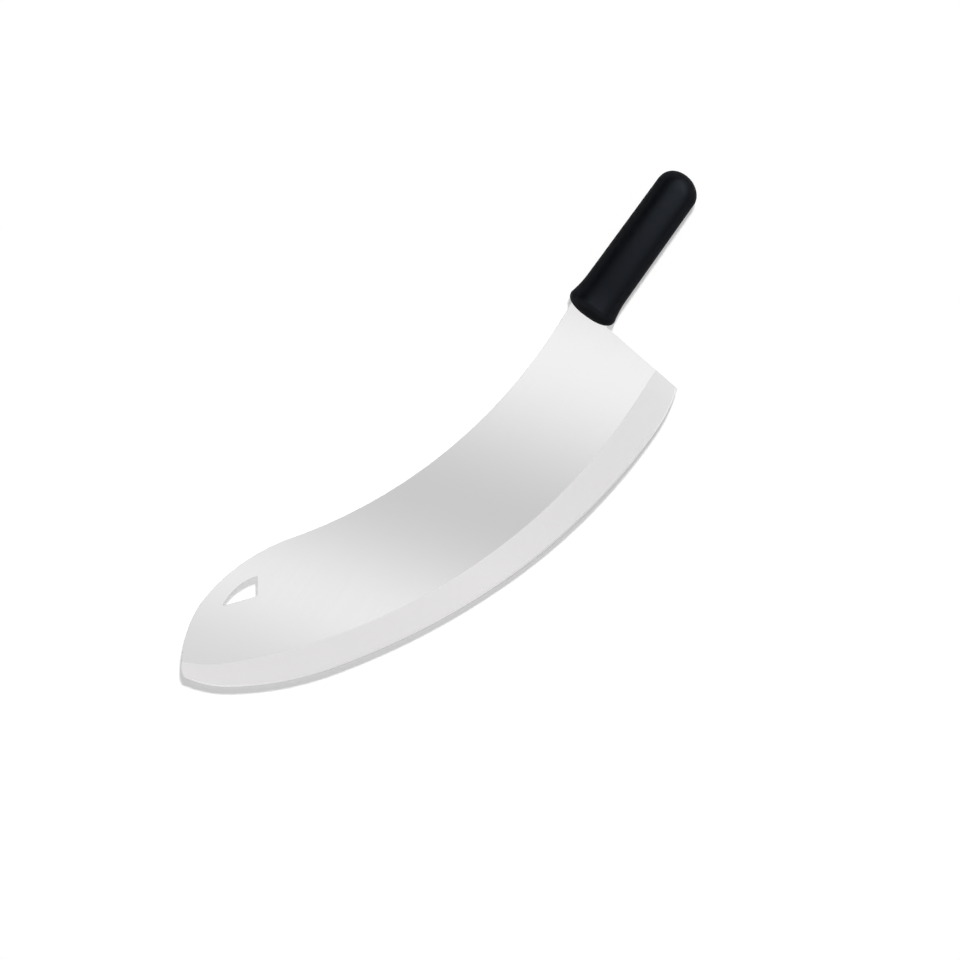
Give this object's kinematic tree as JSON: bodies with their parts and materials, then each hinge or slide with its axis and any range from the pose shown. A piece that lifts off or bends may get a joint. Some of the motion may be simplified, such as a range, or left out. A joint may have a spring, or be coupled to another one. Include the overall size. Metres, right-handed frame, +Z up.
{
  "type": "mincing knife",
  "caption": "Large curved mincing knife: a broad steel blade, ground along its swept belly and pierced near the tip to hang, in a black oval handle with a flared front.",
  "frame": {"origin": "under the middle of the knife's bounding box, at the height of the lowest point of the handle's rim", "axes": "+X back along the handle's axis towards its butt, +Y in the blade's plane towards the spine, +Z up, square to the blade's side, with the knife lying flat"},
  "size_m": [0.5696, 0.2184, 0.0317],
  "materials": {
    "blade_steel": "satin, brushed along the blade, with a finely ground bevel",
    "grip": "matt, fine grain",
    "core_plastic": "as moulded",
    "pin_steel": "turned"
  },
  "bodies": {
    "root": {"blade": "blade_steel", "handle_core": "core_plastic", "handle_grip": "grip", "tang_pin_front": "pin_steel", "tang_pin_rear": "pin_steel"}
  },
  "joints": []
}
